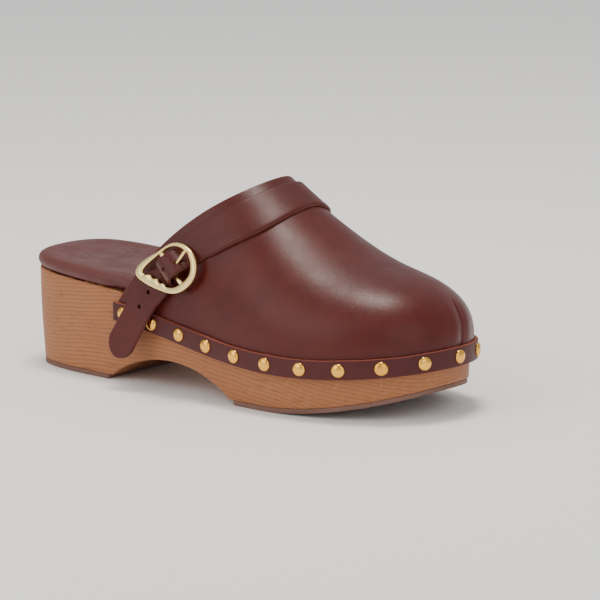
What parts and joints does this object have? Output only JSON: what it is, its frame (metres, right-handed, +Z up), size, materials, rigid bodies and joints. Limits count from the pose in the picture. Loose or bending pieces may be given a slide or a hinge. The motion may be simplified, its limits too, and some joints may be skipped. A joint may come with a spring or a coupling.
{
  "type": "wooden clog",
  "caption": "Right wooden-soled leather clog with nailed rand, block heel, padded footbed and a buckled strap over the instep.",
  "frame": {"origin": "middle of the overall box at ground level, under the waist of the shoe", "axes": "+X towards the toe, +Y towards the inner side of the foot, +Z up"},
  "size_m": [0.2592, 0.1032, 0.1059],
  "materials": {
    "sole_wood": "oiled, fine grain",
    "sole_rubber": "matte, fine texture",
    "foam": "soft open cell foam",
    "bed_leather": "smooth satin",
    "upper_leather": "smooth semi-gloss",
    "lining_leather": "matte",
    "stiffener": "pressed fibre board",
    "strap_leather": "smooth semi-gloss, raw cut edges",
    "brass": "polished",
    "buckle_metal": "polished pale gold"
  },
  "bodies": {
    "shoe": {"wood_sole": "sole_wood", "heel_top_piece": "sole_rubber", "forefoot_tread": "sole_rubber", "footbed_foam": "foam", "footbed_cover": "bed_leather", "vamp": "upper_leather", "vamp_lining": "lining_leather", "toe_puff": "stiffener", "rand": "upper_leather", "studs": "brass", "instep_strap": "strap_leather", "buckle_tab": "strap_leather", "tab_rivet": "brass"},
    "buckle": {"buckle_frame": "buckle_metal"},
    "prong": {"buckle_prong": "buckle_metal"},
    "strap_end": {"strap_tail": "strap_leather"}
  },
  "joints": [
    {"name": "buckle_rock", "type": "hinge", "parent": "shoe", "child": "buckle", "pos_m": [-0.01584, -0.04222, 0.06454], "axis": [-0.7661, 0.1742, 0.6187], "range_deg": [-0.6, 0.8]},
    {"name": "prong_lift", "type": "hinge", "parent": "buckle", "child": "prong", "pos_m": [-0.01362, -0.04273, 0.06274], "axis": [0.7661, -0.1742, -0.6187], "range_deg": [0, 5]},
    {"name": "strap_end_lift", "type": "hinge", "parent": "shoe", "child": "strap_end", "pos_m": [-0.03272, -0.04259, 0.04827], "axis": [-0.7661, 0.1742, 0.6187], "range_deg": [0, 40], "stiffness_Nm_per_rad": 0.004}
  ]
}
